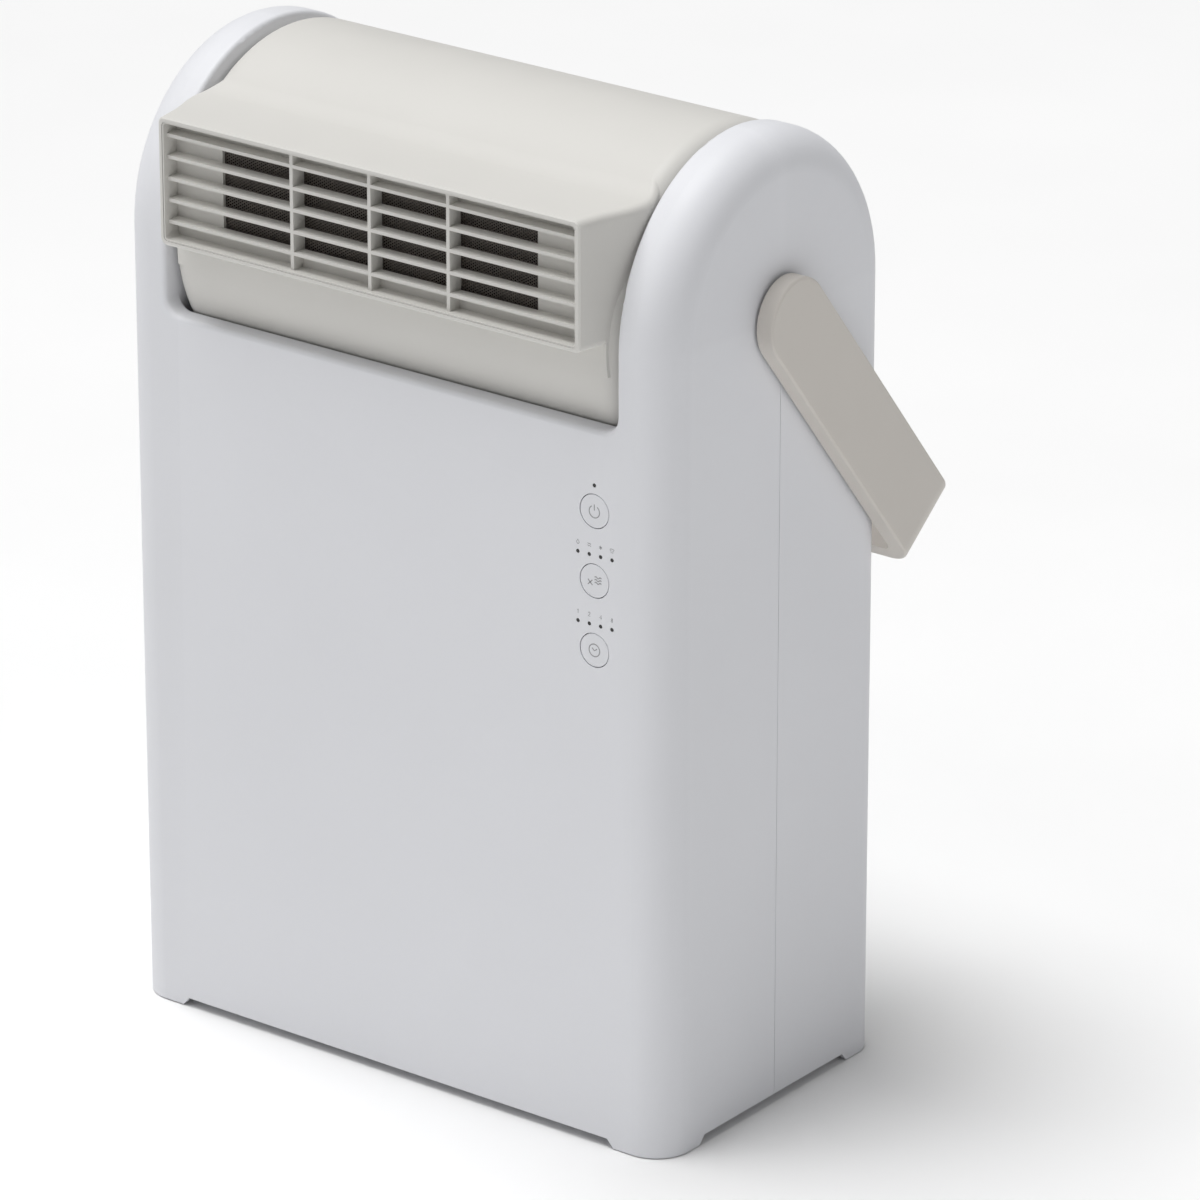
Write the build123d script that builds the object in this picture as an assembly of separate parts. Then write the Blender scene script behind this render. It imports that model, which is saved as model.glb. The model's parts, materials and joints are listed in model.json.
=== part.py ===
from build123d import *
import functools
import math
import os

# Desiccant dehumidifier with a swinging outlet drum and a carrying handle.
# X runs to the right, Y to the rear and Z up. The casing is centred on x = 0
# and y = 0 while it is drawn, and stands on z = 0. All sizes are millimetres.

# Casing
WIDTH = 308.0
DEPTH = 165.0
HEIGHT = 460.0
WALL = 2.5
EDGE_R = 18.0
HALF_W = WIDTH / 2
HALF_D = DEPTH / 2
AXIS_Z = HEIGHT - HALF_D
SEAM_GAP = 0.3
TIGHT_SEAM_GAP = 0.02
TIGHT_SEAM_Z = AXIS_Z + 10.0
FOOT_H = 4.5
SHELL_FOOT_Z = 0.6
BASE_T = 2.5
CHEEK_W = 27.0
CHEEK_X = HALF_W - CHEEK_W
CHEEK_FLOOR_Z = 286.0
LEDGE_Z = 341.0
LEDGE_DEPTH = 9.2
REAR_LEDGE_Z = 360.0
RECESS_CORNER_R = 8.0
RECESS_EDGE_R = 2.2

# Outlet drum and its nozzle
DRUM_R = 81.2
DRUM_HALF_L = 125.7
DRUM_END_R = 10.0
DRUM_WALL = 2.0
CRADLE_R = DRUM_R + 0.5
CRADLE_WALL = 1.8
NOZZLE_FRONT = 96.0
NOZZLE_HALF_W = 117.4
NOZZLE_LOW_Z = AXIS_Z + 2.5
NOZZLE_TOP_Z = AXIS_Z + 62.5
NOZZLE_EDGE_R = 3.5
NOZZLE_BLEND_R = 22.0
DRUM_SLOT_FROM = 300.0
DRUM_SLOT_TO = 350.0
DRUM_SLOT_HALF_L = 112.0
TRUNNION_R = 12.0
SHAFT_FIT = 0.05

# Outlet grille
GRILLE_DEPTH = 10.4
GRILLE_RIM = 2.7
GRILLE_CORNER_R = 2.4
GRILLE_FIT = 0.15
GRILLE_SET_BACK = 0.3
BAR_PITCH = 10.1
BAR_FIRST = 9.1
BAR_T = 1.6
BAR_INSET = 2.5
BAR_COUNT = 5
DIVIDER_PITCH = 43.7
DIVIDER_T = 1.8
OPENING_HALF_W = 88.0
BACKPLATE_T = 1.6
GUARD_RIM = 3.0
GUARD_WIRE = 0.7
GUARD_COLUMNS = 30
GUARD_ROWS = 7

# Carrying handle
HANDLE_W = 40.0
HANDLE_T = 8.5
HANDLE_GAP = 1.5
HANDLE_REACH = 157.2
HANDLE_REST_DEG = -51.0
HANDLE_BEND_R = 12.0
PIVOT_R = 6.0
PIVOT_DEPTH = 6.5

# Front buttons and lights
BUTTON_X = 115.0
BUTTON_Z = (303.5, 271.0, 238.5)
BUTTON_R = 7.7
BUTTON_GAP = 0.4
LIGHT_R = 0.9
LIGHT_RISE = 12.0
LIGHT_X = (-9.0, -2.8, 3.4, 9.6)

# Water tank
TANK_HALF_W = 130.0
TANK_FRONT_Y = -30.0
TANK_LOW_Z = 9.0
TANK_TOP_Z = 103.0
TANK_WALL = 2.0
FLOAT_PIVOT = (-60.0, 8.0, 88.0)

# Rear air intake
INTAKE_HALF_W = 118.0
INTAKE_LOW_Z = 132.0
INTAKE_TOP_Z = 228.0
SLAT_PITCH = 6.2
SLOT_H = 3.4

# Fan, drying rotor and their drives
CORE_Z = 198.0
FAN_R = 62.0
FAN_FRONT_Y = -38.0
FAN_REAR_Y = 0.0
SCROLL_FRONT_Y = -42.0
SCROLL_REAR_Y = 4.0
ROTOR_R = 72.0
ROTOR_FRONT_Y = 14.0
ROTOR_REAR_Y = 32.0
GEAR_MODULE = 2.5
RING_TEETH = 66
ROTOR_PINION_TEETH = 12
SWING_MODULE = 1.5
SWING_GEAR_TEETH = 40
SWING_PINION_TEETH = 12
REGEN_X = -122.0
REGEN_Z = 232.0

# Screws that join the two shells
SCREW_X = 139.5
SCREW_Z = (24.0, 118.0, 300.0)
SCREW_SEAT_Y = 58.0


def block(x0, x1, y0, y1, z0, z1):
    """Box between two corners."""
    centre = Pos((x0 + x1) / 2, (y0 + y1) / 2, (z0 + z1) / 2)
    return centre * Box(x1 - x0, y1 - y0, z1 - z0)


def rod_x(radius, x0, x1, y, z):
    """Cylinder along X."""
    return Pos((x0 + x1) / 2, y, z) * Rot(0, 90, 0) * Cylinder(radius, x1 - x0)


def rod_y(radius, y0, y1, x, z):
    """Cylinder along Y."""
    return Pos(x, (y0 + y1) / 2, z) * Rot(90, 0, 0) * Cylinder(radius, y1 - y0)


def rod_z(radius, z0, z1, x, y):
    """Cylinder along Z."""
    return Pos(x, y, (z0 + z1) / 2) * Cylinder(radius, z1 - z0)


def mirror_x(shape):
    """The same piece on the other side of the casing."""
    return mirror(shape, about=Plane.YZ)


@functools.cache
def frame_place():
    """Shift that puts the frame's origin under the middle of the object at rest."""
    handle_rear = make_handle().bounding_box().max.Y
    return Pos(0, (NOZZLE_FRONT - handle_rear) / 2, 0)


def save(name, *solids):
    """Write one node, placed in the object's frame."""
    loose = [piece for solid in solids for piece in (frame_place() * solid).solids()]
    export_step(Compound(children=loose), f"parts/{name}.step")


# ---------------------------------------------------------------- casing forms

def casing_form(inset, low_z=0.0):
    """Inverted-U block of the casing, drawn in by inset on every side."""
    half_w = HALF_W - inset
    half_d = HALF_D - inset
    side = Pos(0, (AXIS_Z + low_z) / 2) * Rectangle(2 * half_d, AXIS_Z - low_z)
    side += Pos(0, AXIS_Z) * Circle(half_d)
    form = extrude(Plane.YZ * side, amount=half_w, both=True)
    rims = [e for e in form.edges()
            if abs(abs(e.center().X) - half_w) < 0.01 and e.center().Z > low_z + 1]
    return fillet(rims, EDGE_R - inset)


def recess_form():
    """Opening between the cheeks that holds the outlet drum."""
    top = HEIGHT + 20
    parts = []
    for low_z, y0, y1 in ((LEDGE_Z, -HALF_D - 10, 0), (REAR_LEDGE_Z, 0, HALF_D + 10)):
        cut = block(-CHEEK_X, CHEEK_X, y0, y1, low_z, top)
        corners = [e for e in cut.edges().filter_by(Axis.Y) if e.center().Z < low_z + 1]
        parts.append(fillet(corners, RECESS_CORNER_R))
    return parts[0] + parts[1]


def foot_arches():
    """Cuts that raise the bottom edge between the four corner feet."""
    long_side = Polyline((-HALF_W + 28, 0), (-HALF_W + 32, FOOT_H),
                         (HALF_W - 32, FOOT_H), (HALF_W - 28, 0), close=True)
    short_side = Polyline((-HALF_D + 26, 0), (-HALF_D + 30, FOOT_H),
                          (HALF_D - 30, FOOT_H), (HALF_D - 26, 0), close=True)
    front = extrude(Plane.XZ * make_face(long_side), amount=HALF_D + 5, both=True)
    side = extrude(Plane.YZ * make_face(short_side), amount=HALF_W + 5, both=True)
    return front + side


def casing_wall():
    """Hollow casing with its recess, before it is split into two shells."""
    outer = casing_form(0.0) - recess_form()
    rim = [e for e in outer.edges()
           if abs(abs(e.center().X) - CHEEK_X) < RECESS_CORNER_R
           and on_outline(e) or on_ledge(e)]
    outer = fillet(rim, RECESS_EDGE_R)
    inner = casing_form(WALL, low_z=-5.0)
    ledge_keep = block(-CHEEK_X - 5, CHEEK_X + 5, -HALF_D, -HALF_D + LEDGE_DEPTH,
                       LEDGE_Z - WALL, LEDGE_Z + RECESS_CORNER_R + 2)
    middle = block(-CHEEK_X, CHEEK_X, -HALF_D, HALF_D, -5, HEIGHT) - ledge_keep
    low = block(-HALF_W, HALF_W, -HALF_D, HALF_D, -5, CHEEK_FLOOR_Z)
    cheek = block(CHEEK_X + WALL, HALF_W, -HALF_D, HALF_D, -5, HEIGHT)
    outer -= inner & middle
    outer -= inner & low
    outer -= inner & cheek
    outer -= inner & mirror_x(cheek)
    outer -= foot_arches()
    return outer - block(-HALF_W, HALF_W, -HALF_D, HALF_D, -1, SHELL_FOOT_Z)


def on_outline(edge):
    """True for the recess edges that lie on the casing's outer skin."""
    middle = edge.position_at(0.5)
    if middle.Z < LEDGE_Z - 1:
        return False
    if middle.Z <= AXIS_Z:
        return abs(abs(middle.Y) - HALF_D) < 0.05
    return abs(math.hypot(middle.Y, middle.Z - AXIS_Z) - HALF_D) < 0.05


def on_ledge(edge):
    """True for the two long edges where the recess floor meets the skin."""
    middle = edge.position_at(0.5)
    front = abs(middle.Y + HALF_D) < 0.05 and abs(middle.Z - LEDGE_Z) < 0.05
    rear = abs(middle.Z - REAR_LEDGE_Z) < 0.05 and middle.Y > 10
    return front or (rear and abs(middle.X) < 1)


def screw_places():
    """X and Z of each casing screw."""
    return [(side * SCREW_X, z) for side in (-1, 1) for z in SCREW_Z]


def light_places():
    """X and Z of each indicator light."""
    places = [(BUTTON_X, BUTTON_Z[0] + LIGHT_RISE)]
    for z in BUTTON_Z[1:]:
        places += [(BUTTON_X + dx, z + LIGHT_RISE) for dx in LIGHT_X]
    return places


def split_bores():
    """Holes on the shells' joint line for the drum bushes and handle pivots."""
    cuts = []
    for side in (-1, 1):
        low, high = sorted((side * (CHEEK_X - 1), side * (CHEEK_X + WALL + 1)))
        cuts.append(rod_x(TRUNNION_R + 3.2, low, high, 0, AXIS_Z))
        low, high = sorted((side * (HALF_W - WALL - 1), side * (HALF_W + 1)))
        cuts.append(rod_x(8.1, low, high, 0, AXIS_Z))
    return cuts


def make_front_shell(wall):
    """Front half of the casing with its screw posts and control holes."""
    half = block(-200, 200, -200, -SEAM_GAP / 2, -1, HEIGHT + 1)
    half += block(-200, 200, -5, -TIGHT_SEAM_GAP / 2, TIGHT_SEAM_Z, HEIGHT + 1)
    shell = wall & half
    skin = casing_form(1.0)
    for x, z in screw_places():
        shell += rod_y(4.6, -HALF_D, SCREW_SEAT_Y - 3, x, z) & skin
        shell -= rod_y(2.0, SCREW_SEAT_Y - 22, SCREW_SEAT_Y, x, z)
    for z in BUTTON_Z:
        shell -= rod_y(BUTTON_R + BUTTON_GAP, -HALF_D - 1, -HALF_D + WALL + 1, BUTTON_X, z)
    for x, z in light_places():
        shell -= rod_y(LIGHT_R + 0.05, -HALF_D - 1, -HALF_D + WALL + 1, x, z)
    for bore in split_bores():
        shell -= bore
    return shell


def make_rear_shell(wall):
    """Rear half of the casing with its tank, filter and screw openings."""
    half = block(-200, 200, SEAM_GAP / 2, 200, -1, HEIGHT + 1)
    half += block(-200, 200, TIGHT_SEAM_GAP / 2, 5, TIGHT_SEAM_Z, HEIGHT + 1)
    shell = wall & half
    tank_hole = block(-TANK_HALF_W - 1.2, TANK_HALF_W + 1.2, HALF_D - 8, HALF_D + 1,
                      TANK_LOW_Z - 1.5, TANK_TOP_Z + 2.2)
    filter_hole = block(-INTAKE_HALF_W, INTAKE_HALF_W, HALF_D - 8, HALF_D + 1,
                        INTAKE_LOW_Z, INTAKE_TOP_Z)
    for hole in (tank_hole, filter_hole):
        shell -= fillet(hole.edges().filter_by(Axis.Y), 5.0)
    skin = casing_form(0.0)
    for x, z in screw_places():
        shell += rod_y(6.4, SCREW_SEAT_Y - 2, HALF_D, x, z) & skin
        shell -= rod_y(4.6, SCREW_SEAT_Y, HALF_D + 1, x, z)
        shell -= rod_y(2.1, SCREW_SEAT_Y - 3, SCREW_SEAT_Y + 1, x, z)
    shell -= rod_y(6.1, HALF_D - 5, HALF_D + 1, -112, 119)
    for bore in split_bores():
        shell -= bore
    return shell


def make_base_plate():
    """Floor of the casing with a solid block over each foot."""
    plate = casing_form(WALL + 0.2) & block(-200, 200, -200, 200, FOOT_H, FOOT_H + BASE_T)
    corner = casing_form(WALL + 0.2)
    for x0, x1 in ((-HALF_W, -HALF_W + 28), (HALF_W - 28, HALF_W)):
        for y0, y1 in ((-HALF_D, -HALF_D + 26), (HALF_D - 26, HALF_D)):
            plate += corner & block(x0, x1, y0, y1, 1.0, FOOT_H)
    return plate


def make_foot_pads():
    """Four rubber pads under the base plate's corner blocks."""
    pads = []
    for x in (-HALF_W + 15, HALF_W - 15):
        for y in (-HALF_D + 15, HALF_D - 15):
            pads.append(rod_z(9.0, 0, 1.0, x, y))
    return pads


# ---------------------------------------------------------------- outlet drum

def drum_profile(inset, front):
    """Side outline of the drum joined to its nozzle."""
    radius = DRUM_R - inset
    low = NOZZLE_LOW_Z + inset - AXIS_Z
    top = NOZZLE_TOP_Z - inset - AXIS_Z
    nozzle = Pos(-front / 2, (low + top) / 2) * Rectangle(front, top - low)
    outline = Circle(radius) + nozzle
    meet_y = -math.sqrt(radius ** 2 - top ** 2)
    inner_corner = outline.vertices().sort_by_distance((meet_y, top, 0))[0]
    outline = fillet(inner_corner, NOZZLE_BLEND_R + inset)
    return Plane.YZ * (Pos(0, AXIS_Z) * outline)


def nozzle_plan(inset, front):
    """Top outline of the nozzle, which flares from its mouth to the drum."""
    mouth = NOZZLE_HALF_W - inset
    slope = 0.2
    beyond = mouth - slope * (front - NOZZLE_FRONT)
    right = Spline((beyond, -front), (mouth + 3.3, -80), (mouth + 7.6, -66),
                   (mouth + 7.0, -50), (mouth - 1.4, -34), tangents=((slope, 1), (-0.5, 1)))
    left = mirror(right, about=Plane.YZ)
    front_line = Line((-beyond, -front), (beyond, -front))
    rear_line = Line((-mouth + 1.4, -34), (mouth - 1.4, -34))
    return make_face([right, left, front_line, rear_line])


def drum_form(inset, front):
    """Solid drum with rounded ends and a nozzle that narrows to the front."""
    half_l = DRUM_HALF_L - inset
    drum = rod_x(DRUM_R - inset, -half_l, half_l, 0, AXIS_Z)
    drum = fillet(drum.edges().filter_by(GeomType.CIRCLE), DRUM_END_R - inset)
    nozzle = extrude(drum_profile(inset, front), amount=half_l, both=True)
    nozzle = nozzle & extrude(nozzle_plan(inset, front), amount=HEIGHT + 50)
    nozzle = nozzle & block(-half_l, half_l, -front - 1, 0, AXIS_Z - 12, HEIGHT)
    rims = [e for e in nozzle.edges() if is_nozzle_rim(e, front)]
    nozzle = fillet(rims, NOZZLE_EDGE_R - inset / 2)
    return drum + nozzle


def is_nozzle_rim(edge, front):
    """True for the nozzle's edges between its sides and its top or underside."""
    middle = edge.position_at(0.5)
    ahead = -front + 0.5 < middle.Y < -36
    outside = math.hypot(middle.Y, middle.Z - AXIS_Z) > DRUM_R - 2.5
    on_side = abs(middle.X) > NOZZLE_HALF_W - 3.5
    level = abs(edge.tangent_at(0.5).Z) < 0.9 and middle.Z > AXIS_Z
    return ahead and outside and on_side and level


def make_drum_shell():
    """Hollow drum and nozzle, open at the mouth and at the air slot."""
    outer = drum_form(0.0, NOZZLE_FRONT)
    mouth_edges = [e for e in outer.edges()
                   if abs(e.center().Y + NOZZLE_FRONT) < 0.01]
    outer = chamfer(mouth_edges, 0.8)
    shell = outer - drum_form(DRUM_WALL, NOZZLE_FRONT + 1)
    reach = DRUM_R + 10
    start = math.radians(DRUM_SLOT_FROM)
    end = math.radians(DRUM_SLOT_TO)
    wedge = Polyline((0, 0), (reach * math.cos(start), reach * math.sin(start)),
                     (reach * math.cos((start + end) / 2) * 1.2,
                      reach * math.sin((start + end) / 2) * 1.2),
                     (reach * math.cos(end), reach * math.sin(end)), close=True)
    slot = extrude(Plane.YZ * (Pos(0, AXIS_Z) * make_face(wedge)),
                   amount=DRUM_SLOT_HALF_L, both=True)
    shell -= slot - rod_x(20, -130, 130, 0, AXIS_Z)
    for side in (-1, 1):
        low, high = sorted((side * (DRUM_HALF_L - 5), side * (DRUM_HALF_L + 1)))
        shell -= rod_x(TRUNNION_R + 0.3, low, high, 0, AXIS_Z)
    return shell


def make_drum_hub(length):
    """Flanged trunnion inside the right end of the drum."""
    inside = DRUM_HALF_L - DRUM_WALL
    hub = rod_x(26.0, inside - 3.0, inside, 0, AXIS_Z)
    hub += rod_x(TRUNNION_R, inside - 3.0, inside + length, 0, AXIS_Z)
    return hub - rod_x(8.0, inside - 4.0, inside + length + 1, 0, AXIS_Z)


def make_drum_bearing():
    """Flanged bush that carries a trunnion in the cheek's inner wall."""
    bush = rod_x(TRUNNION_R + 3.0, CHEEK_X, CHEEK_X + WALL + 0.8, 0, AXIS_Z)
    bush += rod_x(TRUNNION_R + 5.0, CHEEK_X + WALL + 0.1, CHEEK_X + WALL + 1.3, 0, AXIS_Z)
    return bush - rod_x(TRUNNION_R + SHAFT_FIT, CHEEK_X - 1, CHEEK_X + 6, 0, AXIS_Z)


def make_nozzle_grille():
    """Louvred face that closes the nozzle's mouth."""
    half_w = NOZZLE_HALF_W - DRUM_WALL - GRILLE_FIT
    low_z = NOZZLE_LOW_Z + DRUM_WALL + GRILLE_FIT
    top_z = NOZZLE_TOP_Z - DRUM_WALL - GRILLE_FIT
    face_y = -NOZZLE_FRONT + GRILLE_SET_BACK
    back_y = face_y + GRILLE_DEPTH
    plate_y = back_y - BACKPLATE_T
    rim = GRILLE_RIM - DRUM_WALL
    frame = block(-half_w, half_w, face_y, back_y, low_z, top_z)
    frame = fillet(frame.edges().filter_by(Axis.Y), GRILLE_CORNER_R)
    tray = block(-half_w + rim, half_w - rim, face_y - 1, plate_y, low_z + rim, top_z - rim)
    frame -= fillet(tray.edges().filter_by(Axis.Y), GRILLE_CORNER_R - rim)
    first_z = NOZZLE_TOP_Z - BAR_FIRST
    last_z = first_z - (BAR_COUNT - 1) * BAR_PITCH
    frame -= block(-OPENING_HALF_W, OPENING_HALF_W, plate_y - 1, back_y + 1, last_z, first_z)
    for index in range(BAR_COUNT):
        z = first_z - index * BAR_PITCH
        frame += block(-half_w + 0.2, half_w - 0.2, face_y + BAR_INSET, plate_y,
                       z - BAR_T / 2, z + BAR_T / 2)
    for step in (-1, 0, 1):
        x = step * DIVIDER_PITCH
        frame += block(x - DIVIDER_T / 2, x + DIVIDER_T / 2, face_y + BAR_INSET, back_y,
                       low_z + 0.2, top_z - 0.2)
    return frame


def make_outlet_guard():
    """Wire guard behind the grille's window."""
    front_y = -NOZZLE_FRONT + GRILLE_SET_BACK + GRILLE_DEPTH
    middle_y = front_y + GUARD_WIRE
    back_y = middle_y + GUARD_WIRE
    top_z = NOZZLE_TOP_Z - BAR_FIRST + GUARD_RIM
    low_z = NOZZLE_TOP_Z - BAR_FIRST - (BAR_COUNT - 1) * BAR_PITCH - GUARD_RIM
    half_w = OPENING_HALF_W + GUARD_RIM
    guard = block(-half_w, half_w, front_y, back_y, low_z, top_z)
    guard -= block(-half_w + GUARD_RIM, half_w - GUARD_RIM, front_y - 1, back_y + 1,
                   low_z + GUARD_RIM, top_z - GUARD_RIM)
    for index in range(1, GUARD_COLUMNS):
        x = -half_w + index * 2 * half_w / GUARD_COLUMNS
        guard += block(x - GUARD_WIRE / 2, x + GUARD_WIRE / 2, front_y, middle_y,
                       low_z + 1, top_z - 1)
    for index in range(1, GUARD_ROWS):
        z = low_z + index * (top_z - low_z) / GUARD_ROWS
        guard += block(-half_w + 1, half_w - 1, middle_y, back_y,
                       z - GUARD_WIRE / 2, z + GUARD_WIRE / 2)
    return guard


# ---------------------------------------------------------------- handle

def make_handle():
    """U-shaped strap with full-round pivot ends."""
    outside = HALF_W + HANDLE_GAP + HANDLE_T
    inside = HALF_W + HANDLE_GAP
    end = HANDLE_W / 2
    tip = HANDLE_REACH + HANDLE_T
    outer = block(-outside, outside, -end, tip, -end, end)
    outer = fillet([e for e in outer.edges().filter_by(Axis.Z) if e.center().Y > 0],
                   HANDLE_BEND_R)
    inner = block(-inside, inside, -end - 1, HANDLE_REACH, -end - 1, end + 1)
    inner = fillet([e for e in inner.edges().filter_by(Axis.Z) if e.center().Y > 0],
                   HANDLE_BEND_R - HANDLE_T + 1)
    strap = outer - inner
    profile = Pos(tip / 2, 0) * Rectangle(tip, HANDLE_W) + Circle(end)
    strap = strap & extrude(Plane.YZ * profile, amount=outside + 5, both=True)
    strap = fillet([e for e in strap.edges() if is_strap_rim(e)], 1.4)
    for side in (-1, 1):
        low, high = sorted((side * (inside - 1), side * (inside + PIVOT_DEPTH)))
        strap -= rod_x(PIVOT_R + SHAFT_FIT, low, high, 0, 0)
    return Pos(0, 0, AXIS_Z) * Rot(HANDLE_REST_DEG, 0, 0) * strap


def is_strap_rim(edge):
    """True for the edges around the outside of the strap's broad face."""
    outside = HALF_W + HANDLE_GAP + HANDLE_T
    middle = edge.position_at(0.5)
    on_side = abs(abs(middle.X) - outside) < 0.05
    on_end = abs(middle.Y - HANDLE_REACH - HANDLE_T) < 0.05
    half_w = HANDLE_W / 2
    on_bend = abs(abs(middle.Z) - half_w) < 0.05 and abs(middle.X) > HALF_W + 2 \
        and middle.Y > HANDLE_REACH - 3
    return on_side and abs(middle.Z) > 0.1 or on_end and abs(middle.Z) > 1 or \
        on_bend and math.hypot(abs(middle.X) - outside + HANDLE_BEND_R,
                               middle.Y - HANDLE_REACH - HANDLE_T + HANDLE_BEND_R) \
        > HANDLE_BEND_R - 0.1 or on_side and middle.Y < -1


def make_handle_pivot():
    """Stud through the casing's right side that the handle turns on."""
    inner_face = HALF_W - WALL
    stud = rod_x(14.0, inner_face - 3.0, inner_face - 0.1, 0, AXIS_Z)
    stud += rod_x(8.0, inner_face - 1.0, HALF_W + HANDLE_GAP - 0.4, 0, AXIS_Z)
    stud += rod_x(PIVOT_R, inner_face, HALF_W + HANDLE_GAP + PIVOT_DEPTH - 0.3, 0, AXIS_Z)
    return stud


# ---------------------------------------------------------------- gears

def gear_face(teeth, module, phase_deg):
    """Outline of a straight-flanked spur gear with some backlash."""
    pitch_r = teeth * module / 2
    root_r = pitch_r - 1.2 * module
    tip_r = pitch_r + 0.8 * module
    step = 360.0 / teeth
    root_half = 0.30 * step
    tip_half = 0.11 * step
    points = []
    for index in range(teeth):
        middle = phase_deg + index * step
        for radius, offset in ((root_r, -root_half), (tip_r, -tip_half),
                               (tip_r, tip_half), (root_r, root_half)):
            angle = math.radians(middle + offset)
            points.append((radius * math.cos(angle), radius * math.sin(angle)))
    return make_face(Polyline(*points, close=True))


def swing_mesh_centre():
    """Y and Z of the swing pinion below the drum's axis."""
    distance = (SWING_GEAR_TEETH + SWING_PINION_TEETH) * SWING_MODULE / 2
    return 0.0, AXIS_Z - distance


def make_drum_gear():
    """Gear on the drum's right trunnion."""
    face = gear_face(SWING_GEAR_TEETH, SWING_MODULE, -90.0)
    gear = Pos(131.2, 0, AXIS_Z) * extrude(Plane.YZ * face, amount=4.0)
    return gear - rod_x(TRUNNION_R + 0.02, 130, 137, 0, AXIS_Z)


def make_swing_pinion():
    """Pinion on the swing motor's shaft."""
    y, z = swing_mesh_centre()
    half_step = 180.0 / SWING_PINION_TEETH
    face = gear_face(SWING_PINION_TEETH, SWING_MODULE, 90.0 + half_step)
    pinion = Pos(131.2, y, z) * extrude(Plane.YZ * face, amount=4.0)
    return pinion + rod_x(2.5, 135.0, 138.4, y, z)


def make_swing_motor():
    """Geared stepper that tilts the drum."""
    y, z = swing_mesh_centre()
    motor = rod_x(12.0, 136.0, 150.6, y, z)
    motor += block(136.0, 137.2, y - 17.5, y + 17.5, z - 4, z + 4)
    return motor - rod_x(2.5 + SHAFT_FIT, 135.5, 138.6, y, z)


# ---------------------------------------------------------------- air path

def make_drum_cradle():
    """Curved pan under the drum that leads air into its slot."""
    pan = rod_x(CRADLE_R + CRADLE_WALL, -CHEEK_X + 0.3, CHEEK_X - 0.3, 0, AXIS_Z)
    pan -= rod_x(CRADLE_R, -140, 140, 0, AXIS_Z)
    pan = pan & block(-200, 200, -70.5, 77.8, 200, 336.0)
    window = block(-108, 108, -54, 62, 280, AXIS_Z)
    for x in (-36, 36):
        window -= block(x - 2, x + 2, -60, 70, 280, AXIS_Z)
    return pan - window


def make_outlet_duct():
    """Tray that spreads the fan's air along the cradle."""
    duct = block(-114, 114, -58, 66, 289.0, 325.0)
    duct -= block(-112, 112, -56, 64, 291.0, 326.0)
    duct -= block(16, 86, -40, 2, 285.0, 295.0)
    return duct - rod_x(CRADLE_R + CRADLE_WALL + 0.2, -140, 140, 0, AXIS_Z)


def make_fan_scroll():
    """Spiral fan housing, open to the rear and at its top outlet."""
    outer = Pos(0, 0, CORE_Z) * spiral_block(0.0, SCROLL_FRONT_Y, SCROLL_REAR_Y - 2.2)
    inner = Pos(0, 0, CORE_Z) * spiral_block(2.0, SCROLL_FRONT_Y + 2.0, SCROLL_REAR_Y)
    housing = outer - inner
    housing -= rod_y(20.0, SCROLL_FRONT_Y - 1, SCROLL_FRONT_Y + 3, 0, CORE_Z)
    return housing - block(17, FAN_R + 23, SCROLL_FRONT_Y + 2, SCROLL_REAR_Y, CORE_Z + 80, 292)


def spiral_block(inset, y0, y1):
    """Closed spiral solid: a ring of growing radius and a square outlet."""
    solid = rod_y(FAN_R + 6 - inset, y0, y1, 0, 0)
    solid += Pos(5, 0, -3) * rod_y(FAN_R + 14 - inset, y0, y1, 0, 0)
    solid += block(15 + inset, FAN_R + 19 - inset, y0, y1, -3, 90.5)
    return solid


def make_scroll_cover():
    """Flat ring that closes the scroll and forms the fan's inlet."""
    cover = Pos(0, 0, CORE_Z) * spiral_block(0.0, SCROLL_REAR_Y - 2.0, SCROLL_REAR_Y)
    return cover - rod_y(FAN_R - 10, SCROLL_REAR_Y - 3, SCROLL_REAR_Y + 1, 0, CORE_Z)


def make_main_fan():
    """Forward-curved drum fan with its hub and front disc."""
    blades = 32
    fan = rod_y(FAN_R, FAN_FRONT_Y, FAN_FRONT_Y + 2, 0, 0)
    fan += rod_y(FAN_R, FAN_REAR_Y - 3, FAN_REAR_Y, 0, 0) \
        - rod_y(FAN_R - 3, FAN_REAR_Y - 4, FAN_REAR_Y + 1, 0, 0)
    blade = Pos(FAN_R - 5.5, 0, 0) * Rot(0, 28, 0) * block(
        -4.5, 4.5, FAN_FRONT_Y + 1, FAN_REAR_Y - 1, -0.6, 0.6)
    fan += [Rot(0, 360 * index / blades, 0) * blade for index in range(blades)]
    fan = fan & rod_y(FAN_R, FAN_FRONT_Y - 1, FAN_REAR_Y + 1, 0, 0)
    fan += rod_y(9.0, FAN_FRONT_Y, FAN_FRONT_Y + 18, 0, 0)
    fan -= rod_y(3.0 + 0.02, FAN_FRONT_Y - 1, FAN_FRONT_Y + 19, 0, 0)
    return Pos(0, 0, CORE_Z) * fan


def make_fan_shaft():
    """Steel shaft shared by the motor and the fan."""
    return rod_y(3.0, -70.0, FAN_FRONT_Y + 20, 0, CORE_Z)


def make_fan_motor():
    """Motor in front of the fan, flanged to the scroll."""
    motor = rod_y(29.0, -74.0, -46.0, 0, CORE_Z)
    motor += rod_y(36.0, -46.0, -42.4, 0, CORE_Z)
    motor -= rod_y(3.0 + SHAFT_FIT, -71.0, -40, 0, CORE_Z)
    for angle in (45, 135, 225, 315):
        x = 32.5 * math.cos(math.radians(angle))
        z = CORE_Z + 32.5 * math.sin(math.radians(angle))
        motor -= rod_y(2.0, -47, -41, x, z)
    return motor


# ---------------------------------------------------------------- drying rotor

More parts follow.
